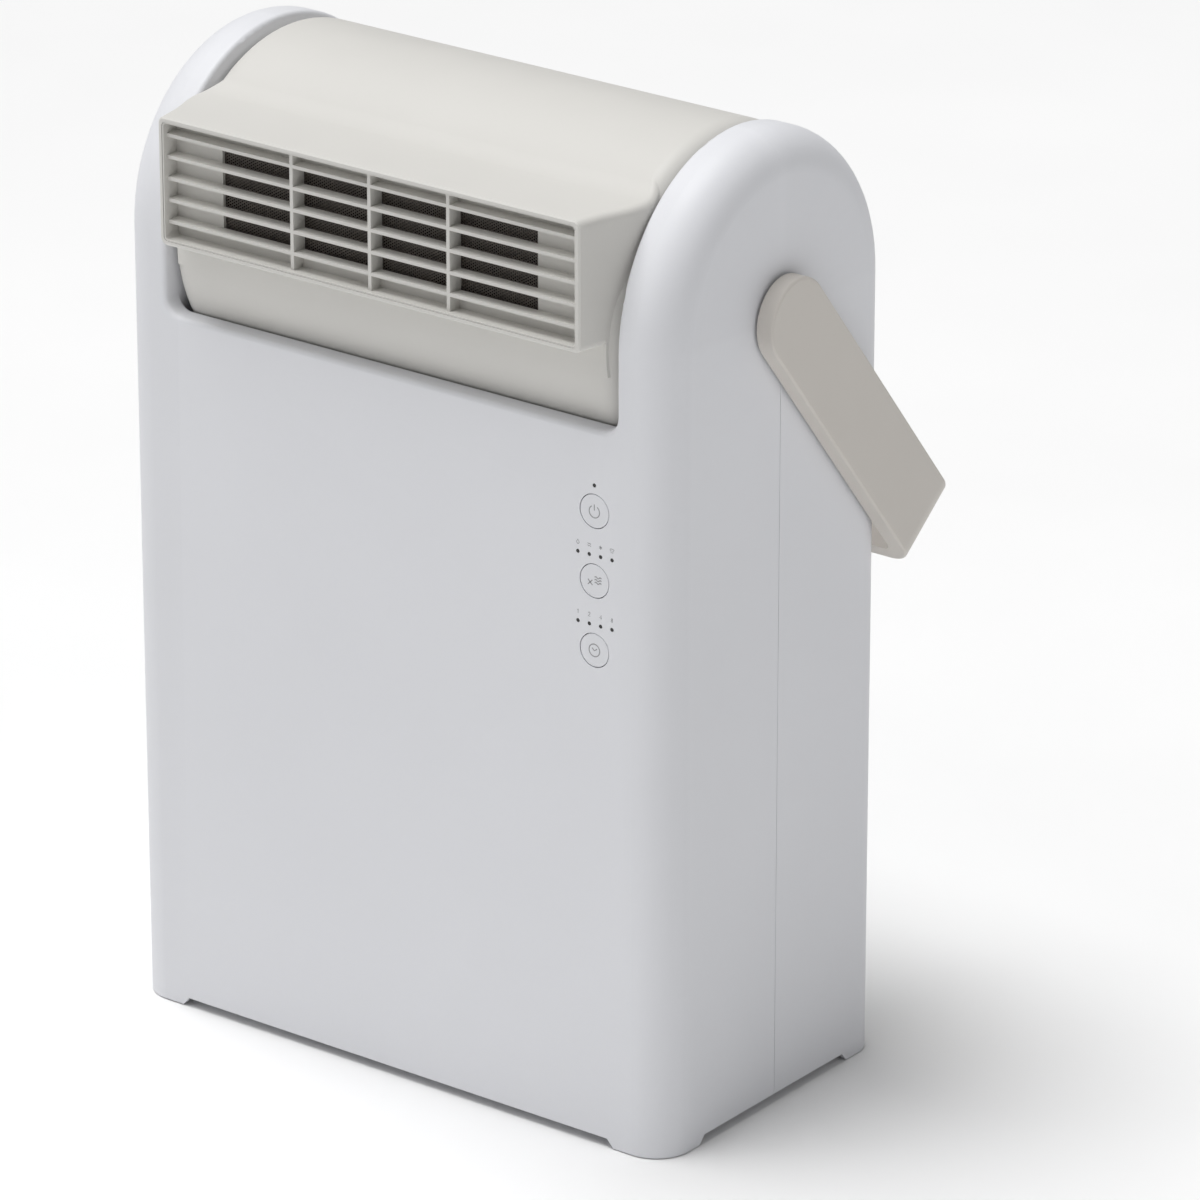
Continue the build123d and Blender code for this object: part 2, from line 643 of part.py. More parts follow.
def make_rotor_frame():
    """Plate that holds the drying rotor across the air path."""
    frame = block(-92, 116, 7.0, 11.0, 116.0, 285.0)
    frame -= rod_y(ROTOR_R - 4, 6, 12, 0, CORE_Z)
    for angle in (0, 60, 120):
        spoke = Pos(0, 9, CORE_Z) * Rot(0, angle, 0) * Box(2 * ROTOR_R, 4, 5)
        frame += spoke
    frame += rod_y(10.0, 7.0, 12.5, 0, CORE_Z)
    x, z = pinion_centre()
    frame -= rod_y(4.5, 6.0, 12.0, x, z)
    return frame - rod_y(4.0 + 0.02, 6.0, 14.0, 0, CORE_Z)


def make_rotor_axle():
    """Fixed axle of the drying rotor."""
    return rod_y(4.0, 7.0, ROTOR_REAR_Y + 2.5, 0, CORE_Z)


def make_rotor_carrier():
    """Hub and rim that hold the drying disc, with a ring of gear teeth."""
    inner_r = ROTOR_R + 0.3
    face = gear_face(RING_TEETH, GEAR_MODULE, 0.0)
    rim = extrude(Plane.XZ * face, amount=-5.0)
    rim = Pos(0, ROTOR_FRONT_Y, 0) * rim
    rim += rod_y(inner_r + 3, ROTOR_FRONT_Y, ROTOR_REAR_Y, 0, 0)
    rim -= rod_y(inner_r, ROTOR_FRONT_Y + 1.5, ROTOR_REAR_Y + 1, 0, 0)
    rim -= rod_y(inner_r - 5, ROTOR_FRONT_Y - 1, ROTOR_FRONT_Y + 2, 0, 0)
    for index in range(6):
        rim += Rot(0, 60 * index, 0) * block(8, inner_r, ROTOR_FRONT_Y, ROTOR_FRONT_Y + 1.5, -2, 2)
    rim += rod_y(9.5, ROTOR_FRONT_Y, ROTOR_REAR_Y, 0, 0)
    rim -= rod_y(4.0 + SHAFT_FIT, ROTOR_FRONT_Y - 1, ROTOR_REAR_Y + 1, 0, 0)
    return Pos(0, 0, CORE_Z) * rim


def make_desiccant_rotor():
    """Honeycomb drying disc."""
    disc = rod_y(ROTOR_R, ROTOR_FRONT_Y + 1.6, ROTOR_REAR_Y - 0.4, 0, CORE_Z)
    return disc - rod_y(9.8, ROTOR_FRONT_Y, ROTOR_REAR_Y + 1, 0, CORE_Z)


def pinion_centre():
    """X and Z of the rotor's pinion."""
    distance = (RING_TEETH + ROTOR_PINION_TEETH) * GEAR_MODULE / 2
    return distance, CORE_Z


def make_rotor_pinion():
    """Small gear that turns the drying rotor."""
    x, z = pinion_centre()
    half_step = 180.0 / ROTOR_PINION_TEETH
    face = gear_face(ROTOR_PINION_TEETH, GEAR_MODULE, 180.0 + half_step)
    pinion = extrude(Plane.XZ * face, amount=-5.0)
    return Pos(x, ROTOR_FRONT_Y, z) * pinion + rod_y(3.0, ROTOR_FRONT_Y - 8, ROTOR_FRONT_Y, x, z)


def make_rotor_motor():
    """Slow geared motor behind the pinion."""
    x, z = pinion_centre()
    motor = rod_y(15.0, -14.0, 6.6, x, z)
    motor += block(x - 21, x + 21, 4.6, 6.6, z - 5, z + 5)
    return motor - rod_y(3.0 + SHAFT_FIT, ROTOR_FRONT_Y - 9, 8, x, z)


def make_heater_unit():
    """Heater box over one sector of the drying disc."""
    points = [(0, 0)]
    for angle in (150, 162, 174, 186, 198, 210):
        points.append((68 * math.cos(math.radians(angle)), 68 * math.sin(math.radians(angle))))
    sector = make_face(Polyline(*points, close=True))
    box = Pos(-12, ROTOR_REAR_Y + 1.5, CORE_Z) * extrude(Plane.XZ * sector, amount=-11.0)
    hollow = Pos(-17, ROTOR_REAR_Y + 1.0, CORE_Z) * scale(
        extrude(Plane.XZ * sector, amount=-9.5), by=(0.86, 1, 0.86))
    return box - hollow


def make_heater_wire():
    """Zigzag heating ribbon inside the heater box."""
    ribbon = None
    for index in range(6):
        x = -68 + index * 7.0
        half_h = 0.42 * (-x - 24)
        bar = block(x - 0.6, x + 0.6, ROTOR_REAR_Y + 3, ROTOR_REAR_Y + 7,
                    CORE_Z - half_h, CORE_Z + half_h)
        ribbon = bar if ribbon is None else ribbon + bar
    return ribbon + block(-69, -32, ROTOR_REAR_Y + 4.4, ROTOR_REAR_Y + 5.6,
                          CORE_Z - 0.6, CORE_Z + 0.6)


def make_heat_exchanger():
    """Upright hollow ribs that condense the damp regeneration air."""
    core = block(-108, 108, 48, 66, 120, 128) + block(-108, 108, 48, 66, 276, 284)
    ribs = 22
    for index in range(ribs):
        x = -105 + index * 210 / (ribs - 1)
        core += block(x - 2.2, x + 2.2, 49, 65, 127, 277)
    return core - rod_z(6.0, 119, 129, 0, 57)


def make_regen_housing():
    """Small fan housing that feeds the heater."""
    house = rod_y(27.0, -20, 12, REGEN_X, REGEN_Z)
    house += block(REGEN_X - 27, REGEN_X - 5, -20, 12, REGEN_Z, REGEN_Z + 34)
    house -= rod_y(25.2, -18.2, 10.2, REGEN_X, REGEN_Z)
    house -= block(REGEN_X - 25.2, REGEN_X - 6.8, -18.2, 10.2, REGEN_Z, REGEN_Z + 36)
    house -= rod_y(14.0, 9, 13, REGEN_X, REGEN_Z)
    return house - rod_y(5.0, -21, -17, REGEN_X, REGEN_Z)


def make_regen_impeller():
    """Radial wheel of the regeneration fan."""
    wheel = rod_y(22.0, -14, -12.4, 0, 0) + rod_y(5.5, -14, 2, 0, 0)
    for index in range(10):
        wheel += Rot(0, 36 * index, 0) * block(5, 21.5, -13, 6, -0.6, 0.6)
    wheel -= rod_y(2.0 + 0.02, -15, 3, 0, 0)
    return Pos(REGEN_X, 0, REGEN_Z) * wheel


def make_regen_shaft():
    """Shaft of the regeneration fan."""
    return rod_y(2.0, -38, 4, REGEN_X, REGEN_Z)


def make_regen_motor():
    """Motor of the regeneration fan."""
    motor = rod_y(16.0, -40, -20.4, REGEN_X, REGEN_Z)
    return motor - rod_y(2.0 + SHAFT_FIT, -39, -19, REGEN_X, REGEN_Z)


def make_regen_duct():
    """Duct from the regeneration fan to the heater."""
    duct = block(-147, -131, 14, 44, REGEN_Z - 42, REGEN_Z + 30)
    duct += block(-147, -84, 34, 44, CORE_Z - 10, CORE_Z + 10)
    duct -= block(-145.4, -132.6, 12, 42.4, REGEN_Z - 40.4, REGEN_Z + 28.4)
    return duct - block(-140, -82, 35.6, 42.4, CORE_Z - 8.4, CORE_Z + 8.4)


# ---------------------------------------------------------------- electronics

def make_control_board():
    """Circuit board behind the buttons, with its lights."""
    board = block(BUTTON_X - 14, BUTTON_X + 11.4, -73.2, -71.6, 226, 328)
    for x, z in light_places():
        board += block(x - 1.5, x + 1.5, -74.6, -73.1, z - 1.5, z + 1.5)
    board += block(BUTTON_X - 12, BUTTON_X + 10, -71.7, -66, 229, 236)
    return board


def make_tact_switches():
    """One tactile switch behind each button."""
    switches = []
    for z in BUTTON_Z:
        body = block(BUTTON_X - 3, BUTTON_X + 3, -75.8, -73.2, z - 3, z + 3)
        switches.append(body + rod_y(1.6, -76.6, -75.7, BUTTON_X, z))
    return switches


def make_button(z):
    """Round push button with a flange behind the panel and a stem."""
    face_y = -HALF_D
    cap = rod_y(BUTTON_R, face_y, face_y + WALL + 0.3, BUTTON_X, z)
    cap = fillet([e for e in cap.edges() if abs(e.center().Y - face_y) < 0.01], 0.35)
    cap += rod_y(BUTTON_R + 1.7, face_y + WALL + 0.1, face_y + WALL + 1.1, BUTTON_X, z)
    return cap + rod_y(2.0, face_y + WALL + 1.0, -77.6, BUTTON_X, z)


def make_light_pipes():
    """Clear pins that carry each light to the panel's face."""
    return [rod_y(LIGHT_R, -HALF_D + 0.05, -75.0, x, z) for x, z in light_places()]


def make_main_board():
    """Power board with its tall components."""
    board = block(100, 148, -62, -60.4, 128, 214)
    board += block(106, 124, -60.5, -44, 134, 152)
    board += block(128, 144, -60.5, -42, 136, 160)
    for x, z, radius in ((112, 172, 6.5), (128, 178, 5.0), (140, 176, 4.0)):
        board += rod_y(radius, -60.5, -40, x, z)
    return board + block(104, 144, -60.5, -52, 190, 206)


def make_humidity_sensor():
    """Small sensor board beside the intake."""
    board = block(124, 136, 74, 75.4, 170, 200)
    return board + block(126, 134, 75.3, 78, 184, 192)


# ---------------------------------------------------------------- water side

def make_drain_tray():
    """Tray under the exchanger that drips into the tank."""
    tray = block(-116, 116, 4, 72, 107.0, 114.0)
    tray -= block(-114, 114, 6, 70, 109.0, 115.0)
    tray += rod_z(9.0, 105.6, 109.0, 0, 40)
    return tray - rod_z(6.0, 105, 110, 0, 40)


def make_water_tank():
    """Open tank whose rear panel is flush with the casing."""
    rear_y = HALF_D
    tank = block(-TANK_HALF_W, TANK_HALF_W, TANK_FRONT_Y, rear_y, TANK_LOW_Z, TANK_TOP_Z - 3)
    tank = fillet(tank.edges().filter_by(Axis.Z), 6.0)
    tub = block(-TANK_HALF_W, TANK_HALF_W, TANK_FRONT_Y, rear_y, TANK_LOW_Z, TANK_TOP_Z + 10)
    tank = tank & fillet(tub.edges().filter_by(Axis.Y), 4.0)
    panel = block(-TANK_HALF_W - 0.6, TANK_HALF_W + 0.6, rear_y - 3.0, rear_y,
                  TANK_LOW_Z - 0.9, TANK_TOP_Z + 1.6)
    tank += fillet(panel.edges().filter_by(Axis.Y), 4.4)
    inside = block(-TANK_HALF_W + TANK_WALL, TANK_HALF_W - TANK_WALL,
                   TANK_FRONT_Y + TANK_WALL, rear_y - 3.0, TANK_LOW_Z + TANK_WALL, TANK_TOP_Z + 5)
    tank -= inside - block(-47, 47, 64.0, rear_y, 60, 92)
    grip = block(-45, 45, 66.0, rear_y + 1, 62, 90)
    grip = fillet(grip.edges().filter_by(Axis.Y), 6.0)
    return tank - grip


def make_tank_lid():
    """Lid with the drip inlet and the float's hanger."""
    low_z = TANK_TOP_Z - 3
    lid = block(-TANK_HALF_W + 0.4, TANK_HALF_W - 0.4, TANK_FRONT_Y + 0.4, 79.2,
                low_z, low_z + 2)
    lid -= rod_z(14.0, low_z - 1, low_z + 3, 0, 40)
    x, y, z = FLOAT_PIVOT
    for side in (-1, 1):
        ear_x = x + side * 8
        lid += block(ear_x - 1.5, ear_x + 1.5, y - 5, y + 5, z - 5, low_z + 1)
        lid -= rod_x(2.0 + 0.02, ear_x - 3, ear_x + 3, y, z)
    return lid


def make_float_pin():
    """Pin the float swings on."""
    x, y, z = FLOAT_PIVOT
    return rod_x(2.0, x - 10, x + 10, y, z)


def make_tank_float():
    """Foam float on an arm with a magnet pocket."""
    x, y, z = FLOAT_PIVOT
    arm = block(x - 5, x + 5, y - 5, y + 14, z - 4, z + 4)
    arm += block(x - 4, x + 4, y + 8, y + 34, z - 26, z - 4 + 1)
    arm += block(x - 22, x + 22, y + 12, y + 40, z - 44, z - 22)
    return arm - rod_x(2.0 + SHAFT_FIT, x - 6, x + 6, y, z)


def make_tank_switch():
    """Magnet sensor that detects the float and the tank."""
    return block(-72, -48, -38, -33, 78, 98) + block(-66, -54, -45, -37.9, 84, 92)


# ---------------------------------------------------------------- rear intake

def make_intake_grille():
    """Slatted cover of the rear intake."""
    gap = 0.5
    low_z = INTAKE_LOW_Z + gap
    top_z = INTAKE_TOP_Z - gap
    half_w = INTAKE_HALF_W - gap
    cover = block(-half_w, half_w, HALF_D - 3.0, HALF_D, low_z, top_z)
    cover = fillet(cover.edges().filter_by(Axis.Y), 4.5)
    count = int((top_z - low_z - 12) / SLAT_PITCH)
    first_z = (low_z + top_z - (count - 1) * SLAT_PITCH) / 2
    for column in (-1, 0, 1):
        x = column * 75.0
        for row in range(count):
            z = first_z + row * SLAT_PITCH
            cover -= block(x - 34.5, x + 34.5, HALF_D - 4, HALF_D + 1,
                           z - SLOT_H / 2, z + SLOT_H / 2)
    return cover


def make_filter_frame():
    """Frame that holds the dust filter behind the cover."""
    low_z = INTAKE_LOW_Z + 2
    top_z = INTAKE_TOP_Z - 2
    half_w = INTAKE_HALF_W - 2
    frame = block(-half_w, half_w, 75.0, HALF_D - 3.0, low_z, top_z)
    for column in (-1, 0, 1):
        x = column * 75.0
        frame -= block(x - 34.5, x + 34.5, 74, HALF_D, low_z + 5, top_z - 5)
    return frame


def make_filter_mesh():
    """Three panels of fine dust mesh in the frame."""
    panels = []
    for column in (-1, 0, 1):
        x = column * 75.0
        panels.append(block(x - 34.5, x + 34.5, 76.4, 77.0, INTAKE_LOW_Z + 7, INTAKE_TOP_Z - 7))
    return panels


def make_cord_gland():
    """Bush for the mains lead in the rear shell."""
    x, z = -112, 119
    gland = rod_y(6.0, HALF_D - 4.5, HALF_D + 2.0, x, z)
    gland += rod_y(8.5, HALF_D + 0.05, HALF_D + 2.0, x, z)
    gland += rod_y(7.6, HALF_D - 4.5, HALF_D - WALL - 0.05, x, z)
    return gland - rod_y(3.3, HALF_D - 6, HALF_D + 3, x, z)


def make_case_screws():
    """Pan-head screws at the bottom of their wells."""
    screws = []
    for x, z in screw_places():
        head = rod_y(3.6, SCREW_SEAT_Y, SCREW_SEAT_Y + 2.4, x, z)
        head += rod_y(1.9, SCREW_SEAT_Y - 18, SCREW_SEAT_Y + 0.5, x, z)
        head -= block(x - 2.2, x + 2.2, SCREW_SEAT_Y + 1.2, SCREW_SEAT_Y + 3, z - 0.4, z + 0.4)
        head -= block(x - 0.4, x + 0.4, SCREW_SEAT_Y + 1.2, SCREW_SEAT_Y + 3, z - 2.2, z + 2.2)
        screws.append(head)
    return screws


def build_casing():
    """Shells, base, feet, screws and cord gland."""
    wall = casing_wall()
    save("front_shell", make_front_shell(wall))
    save("rear_shell", make_rear_shell(wall))
    save("base_plate", make_base_plate())
    save("foot_pads", *make_foot_pads())
    save("case_screws", *make_case_screws())
    save("cord_gland", make_cord_gland())


def build_drum():
    """Outlet drum, its grille, bearings and drive."""
    save("drum_shell", make_drum_shell())
    save("drum_hub_right", make_drum_hub(11.6))
    save("drum_hub_left", mirror_x(make_drum_hub(8.4)))
    save("drum_bearing_right", make_drum_bearing())
    save("drum_bearing_left", mirror_x(make_drum_bearing()))
    save("nozzle_grille", make_nozzle_grille())
    save("outlet_guard", make_outlet_guard())
    save("drum_gear", make_drum_gear())
    save("swing_pinion", make_swing_pinion())
    save("swing_motor", make_swing_motor())


def build_handle():
    """Carrying handle and its two pivots."""
    save("carry_handle", make_handle())
    save("handle_pivot_right", make_handle_pivot())
    save("handle_pivot_left", mirror_x(make_handle_pivot()))


def build_air_path():
    """Cradle, duct, main fan and its housing."""
    save("drum_cradle", make_drum_cradle())
    save("outlet_duct", make_outlet_duct())
    save("fan_scroll", make_fan_scroll())
    save("scroll_cover", make_scroll_cover())
    save("main_fan", make_main_fan())
    save("fan_shaft", make_fan_shaft())
    save("fan_motor", make_fan_motor())


def build_drying_side():
    """Rotor, heater, exchanger and regeneration fan."""
    save("rotor_frame", make_rotor_frame())
    save("rotor_axle", make_rotor_axle())
    save("rotor_carrier", make_rotor_carrier())
    save("desiccant_rotor", make_desiccant_rotor())
    save("rotor_pinion", make_rotor_pinion())
    save("rotor_motor", make_rotor_motor())
    save("heater_unit", make_heater_unit())
    save("heater_wire", make_heater_wire())
    save("heat_exchanger", make_heat_exchanger())
    save("regen_fan_housing", make_regen_housing())
    save("regen_impeller", make_regen_impeller())
    save("regen_shaft", make_regen_shaft())
    save("regen_motor", make_regen_motor())
    save("regen_duct", make_regen_duct())


def build_controls():
    """Buttons, lights and circuit boards."""
    for name, z in zip(("power", "mode", "timer"), BUTTON_Z):
        save(f"button_{name}", make_button(z))
    save("light_pipes", *make_light_pipes())
    save("control_board", make_control_board())
    save("tact_switches", *make_tact_switches())
    save("main_board", make_main_board())
    save("humidity_sensor", make_humidity_sensor())


def build_water_side():
    """Tank, lid, float and drain."""
    save("water_tank", make_water_tank())
    save("tank_lid", make_tank_lid())
    save("float_pin", make_float_pin())
    save("tank_float", make_tank_float())
    save("drain_tray", make_drain_tray())
    save("tank_switch", make_tank_switch())


def build_intake():
    """Rear intake cover with its dust filter."""
    save("intake_grille", make_intake_grille())
    save("filter_frame", make_filter_frame())
    save("filter_mesh", *make_filter_mesh())


os.makedirs("parts", exist_ok=True)
build_casing()
build_drum()
build_handle()
build_air_path()
build_drying_side()
build_controls()
build_water_side()
build_intake()
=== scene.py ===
import json
import math

import bmesh
import bpy
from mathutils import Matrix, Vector


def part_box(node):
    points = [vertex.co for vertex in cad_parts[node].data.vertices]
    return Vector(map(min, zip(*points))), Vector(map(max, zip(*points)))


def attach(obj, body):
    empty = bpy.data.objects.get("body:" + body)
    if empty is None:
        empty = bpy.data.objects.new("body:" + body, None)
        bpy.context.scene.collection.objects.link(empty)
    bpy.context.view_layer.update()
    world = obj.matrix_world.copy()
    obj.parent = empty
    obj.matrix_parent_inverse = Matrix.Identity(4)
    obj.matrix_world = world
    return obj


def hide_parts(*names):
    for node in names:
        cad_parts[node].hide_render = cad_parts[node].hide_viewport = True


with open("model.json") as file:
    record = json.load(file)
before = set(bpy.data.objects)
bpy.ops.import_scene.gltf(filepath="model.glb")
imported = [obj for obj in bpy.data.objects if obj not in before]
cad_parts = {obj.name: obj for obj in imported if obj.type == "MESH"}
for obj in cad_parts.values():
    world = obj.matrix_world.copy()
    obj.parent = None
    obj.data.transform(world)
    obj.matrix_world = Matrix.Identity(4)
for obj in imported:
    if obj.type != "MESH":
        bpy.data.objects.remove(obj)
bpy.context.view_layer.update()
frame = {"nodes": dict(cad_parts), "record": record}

# Units are metres and degrees. The casing stands on z = 0, its front faces -Y.
MM = 0.001

# Camera: where it stands round the casing, and where it looks
CAMERA_AZIMUTH = 37.4
CAMERA_RISE = 21.9
CAMERA_DISTANCE = 3.461
CAMERA_PITCH = 22.04
CAMERA_LENS = 231.7
CAMERA_SIDE_SHIFT = 0.055
CASING_HALF_HEIGHT = 0.230

# Drum
DRUM_RADIUS = 81.2 * MM
DRUM_ROUNDING = 10.0 * MM
# Depth under the drum's outer skin where the painted shade of the drum's inside begins
INSIDE_SHADE_DEPTH = 1.0 * MM

# Control panel
PRINT_THICKNESS = 0.03 * MM
LINE_WIDTH = 0.5 * MM

# Meshes: outlet wire and filter thread
WIRE_PITCH = 2.3 * MM
WIRE_WIDTH = 0.62 * MM
WIRE_SLANT = 1.6
THREAD_PITCH = 1.5 * MM
THREAD_WIDTH = 0.34 * MM
FILTER_COLUMNS = 3
FILTER_WINDOW = 69.0 * MM
LAYER_GAP = 0.02 * MM
SHORTEST_CUT = 0.002  # share of a wire that is too short to keep

# Studio: each softbox has a name, a place, a size and a power in watts
SUN_ANGLE = 40.0
SUN_STRENGTH = 2.55
SUN_DIRECTION = (0.22, 0.07, -1.0)
AIM_HEIGHT = 0.25
SOFTBOXES = (("front_softbox", (-0.45, -1.0, 1.35), 0.8, 3.2),
             ("side_softbox", (1.6, -0.35, 1.35), 0.9, 2.4))
ROOM_STRENGTH = 0.17
FLOOR_HALF = 8.0

# Colours
INK = (0.27, 0.27, 0.28)
WHITE = (0.79, 0.797, 0.828)
DRUM = (0.68, 0.668, 0.637)
GREIGE = (0.66, 0.625, 0.58)

nodes = frame["nodes"]
front_low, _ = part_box("front_shell")
_, rear_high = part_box("rear_shell")
casing_y = (front_low.y + rear_high.y) / 2
face_y = front_low.y


# ------------------------------------------------------------------ camera

def make_camera():
    """Camera at the product's three-quarter view, level and without shift."""
    azimuth = math.radians(CAMERA_AZIMUTH)
    rise = math.radians(CAMERA_RISE)
    pitch = math.radians(CAMERA_PITCH)
    target = Vector((CAMERA_SIDE_SHIFT, casing_y, CASING_HALF_HEIGHT))
    away = Vector((math.sin(azimuth) * math.cos(rise),
                   -math.cos(azimuth) * math.cos(rise), math.sin(rise)))
    back = Vector((math.sin(azimuth) * math.cos(pitch),
                   -math.cos(azimuth) * math.cos(pitch), math.sin(pitch)))
    data = bpy.data.cameras.new("camera")
    data.lens = CAMERA_LENS
    data.sensor_width = 36.0
    data.clip_end = 50.0
    camera = bpy.data.objects.new("camera", data)
    camera.location = target + away * CAMERA_DISTANCE
    camera.rotation_mode = "QUATERNION"
    camera.rotation_quaternion = (-back).to_track_quat("-Z", "Y")
    bpy.context.scene.collection.objects.link(camera)
    bpy.context.scene.camera = camera


# ------------------------------------------------------------------ materials

class Shader:
    """Small helper that adds and links nodes of one material."""

    def __init__(self, name):
        self.material = bpy.data.materials.new(name)
        self.material.use_nodes = True
        self.tree = self.material.node_tree
        self.surface = self.tree.nodes["Principled BSDF"]
        self.place = self.tree.nodes.new("ShaderNodeTexCoord").outputs["Object"]

    def add(self, kind, **settings):
        """New node with its plain settings applied."""
        node = self.tree.nodes.new(kind)
        for key, value in settings.items():
            setattr(node, key, value)
        return node

    def link(self, source, target):
        """Joins an output socket to an input socket."""
        self.tree.links.new(source, target)

    def noise(self, scale, detail=3.0, roughness=0.55):
        """Noise value over the piece's own coordinates."""
        node = self.add("ShaderNodeTexNoise")
        node.inputs["Scale"].default_value = scale
        node.inputs["Detail"].default_value = detail
        node.inputs["Roughness"].default_value = roughness
        self.link(self.place, node.inputs["Vector"])
        return node.outputs["Fac"]

    def remap(self, value, low, high, from_low=0.3, from_high=0.7):
        """Value stretched from one range to another."""
        node = self.add("ShaderNodeMapRange")
        node.inputs["From Min"].default_value = from_low
        node.inputs["From Max"].default_value = from_high
        node.inputs["To Min"].default_value = low
        node.inputs["To Max"].default_value = high
        self.link(value, node.inputs["Value"])
        return node.outputs["Result"]

    def math(self, operation, first, second=0.0):
        """Arithmetic on sockets or numbers."""
        node = self.add("ShaderNodeMath", operation=operation)
        for socket, value in zip(node.inputs, (first, second)):
            if isinstance(value, (int, float)):
                socket.default_value = value
            else:
                self.link(value, socket)
        return node.outputs["Value"]

    def length(self, first, second):
        """Square root of the sum of two squares."""
        squares = self.math("ADD", self.math("POWER", first, 2.0),
                            self.math("POWER", second, 2.0))
        return self.math("SQRT", squares)

    def mix(self, factor, first, second):
        """Colour between two colours or colour sockets."""
        node = self.add("ShaderNodeMix", data_type="RGBA")
        for socket, value in zip((node.inputs[0], node.inputs[6], node.inputs[7]),
                                 (factor, first, second)):
            if isinstance(value, tuple):
                socket.default_value = (*value, 1.0)
            elif isinstance(value, (int, float)):
                socket.default_value = value
            else:
                self.link(value, socket)
        return node.outputs[2]

    def bump(self, height, strength, distance, below=None):
        """Bump on top of another bump; the last one made feeds the surface."""
        node = self.add("ShaderNodeBump")
        node.inputs["Strength"].default_value = strength
        node.inputs["Distance"].default_value = distance
        self.link(height, node.inputs["Height"])
        if below is not None:
            self.link(below, node.inputs["Normal"])
        self.link(node.outputs["Normal"], self.surface.inputs["Normal"])
        return node.outputs["Normal"]

    def position(self):
        """X, Y and Z of the point in the piece's own coordinates."""
        node = self.add("ShaderNodeSeparateXYZ")
        self.link(self.place, node.inputs[0])
        return node.outputs["X"], node.outputs["Y"], node.outputs["Z"]


def shade(colour, factor):
    """Colour made lighter or darker."""
    return tuple(min(1.0, channel * factor) for channel in colour)


def moulded(name, colour, roughness=0.5, grain=0.12, grain_scale=1500.0, specular=0.4):
    """Moulded plastic: spark-eroded grain, slight flow mottling and uneven gloss."""
    sh = Shader(name)
    cloud = sh.noise(7.0, 2.0)
    speck = sh.noise(420.0, 2.0)
    tone = sh.mix(sh.remap(cloud, 0.0, 1.0), shade(colour, 0.985), shade(colour, 1.012))
    tone = sh.mix(sh.remap(speck, 0.0, 0.10, 0.55, 0.8), tone, shade(colour, 0.90))
    edge = sh.add("ShaderNodeNewGeometry").outputs["Pointiness"]
    tone = sh.mix(sh.remap(edge, 0.0, 0.25, 0.52, 0.60), tone, shade(colour, 1.10))
    sh.link(tone, sh.surface.inputs["Base Color"])
    gloss = sh.remap(sh.noise(60.0, 3.0), roughness - 0.035, roughness + 0.035)
    sh.link(gloss, sh.surface.inputs["Roughness"])
    sh.surface.inputs["Specular IOR Level"].default_value = specular
    fine = sh.noise(grain_scale, 4.0, 0.65)
    wave = sh.noise(26.0, 1.0)
    first = sh.bump(wave, 0.02, 0.002)
    sh.bump(fine, grain, 0.00012, first)
    return sh


def drum_plastic():
    """Warm grey plastic of the drum, with near-black painted shade over its inner surfaces."""
    sh = moulded("drum_plastic", DRUM, roughness=0.52)
    low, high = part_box("drum_shell")
    axis_z = low.z + DRUM_RADIUS
    half_length = (high.x - low.x) / 2
    x, y, z = sh.position()
    across = sh.math("SUBTRACT", y, casing_y)
    up = sh.math("SUBTRACT", z, axis_z)
    radius = sh.length(across, up)
    past_end = sh.math("SUBTRACT", sh.math("ABSOLUTE", x), half_length - DRUM_ROUNDING)
    past_rim = sh.math("SUBTRACT", radius, DRUM_RADIUS - DRUM_ROUNDING)
    corner = sh.length(sh.math("MAXIMUM", past_end, 0.0),
                       sh.math("MAXIMUM", past_rim, 0.0))
    # Painted shade: every surface further inside the drum than its outer skin and end rounding is
    # coloured near-black, standing in for the shade inside the hollow drum.
    inside_shade_mask = sh.math("LESS_THAN", corner, DRUM_ROUNDING - INSIDE_SHADE_DEPTH)
    inside_shade_colour = sh.mix(sh.remap(sh.noise(900.0), 0.0, 1.0), (0.022, 0.019, 0.017),
                  (0.060, 0.052, 0.046))
    colour = sh.surface.inputs["Base Color"].links[0].from_socket
    sh.link(sh.mix(inside_shade_mask, colour, inside_shade_colour), sh.surface.inputs["Base Color"])
    return sh.material


def metal(name, colour, roughness=0.35, brushed=(1.0, 1.0, 1.0)):
    """Worked metal with fine machining lines and slight tarnish."""
    sh = Shader(name)
    stretch = sh.add("ShaderNodeMapping")
    stretch.inputs["Scale"].default_value = brushed
    sh.link(sh.place, stretch.inputs["Vector"])
    lines = sh.add("ShaderNodeTexNoise")
    lines.inputs["Scale"].default_value = 900.0
    sh.link(stretch.outputs["Vector"], lines.inputs["Vector"])
    tone = sh.mix(sh.remap(sh.noise(45.0), 0.0, 1.0), shade(colour, 0.86), colour)
    sh.link(tone, sh.surface.inputs["Base Color"])
    sh.surface.inputs["Metallic"].default_value = 1.0
    sh.link(sh.remap(lines.outputs["Fac"], roughness - 0.08, roughness + 0.10),
            sh.surface.inputs["Roughness"])
    sh.bump(lines.outputs["Fac"], 0.15, 0.0001)
    return sh.material


def circuit_board():
    """Green solder mask with copper traces and a dusting of pads."""
    sh = Shader("circuit_board")
    bricks = sh.add("ShaderNodeTexBrick")
    bricks.inputs["Scale"].default_value = 260.0
    bricks.inputs["Mortar Size"].default_value = 0.09
    bricks.inputs["Color1"].default_value = (0.010, 0.085, 0.035, 1)
    bricks.inputs["Color2"].default_value = (0.014, 0.110, 0.045, 1)
    bricks.inputs["Mortar"].default_value = (0.030, 0.190, 0.080, 1)
    sh.link(sh.place, bricks.inputs["Vector"])
    pads = sh.remap(sh.noise(520.0, 1.0), 0.0, 1.0, 0.66, 0.70)
    sh.link(sh.mix(pads, bricks.outputs["Color"], (0.42, 0.33, 0.16)),
            sh.surface.inputs["Base Color"])
    sh.surface.inputs["Roughness"].default_value = 0.32
    sh.bump(bricks.outputs["Fac"], 0.2, 0.0001)
    return sh.material


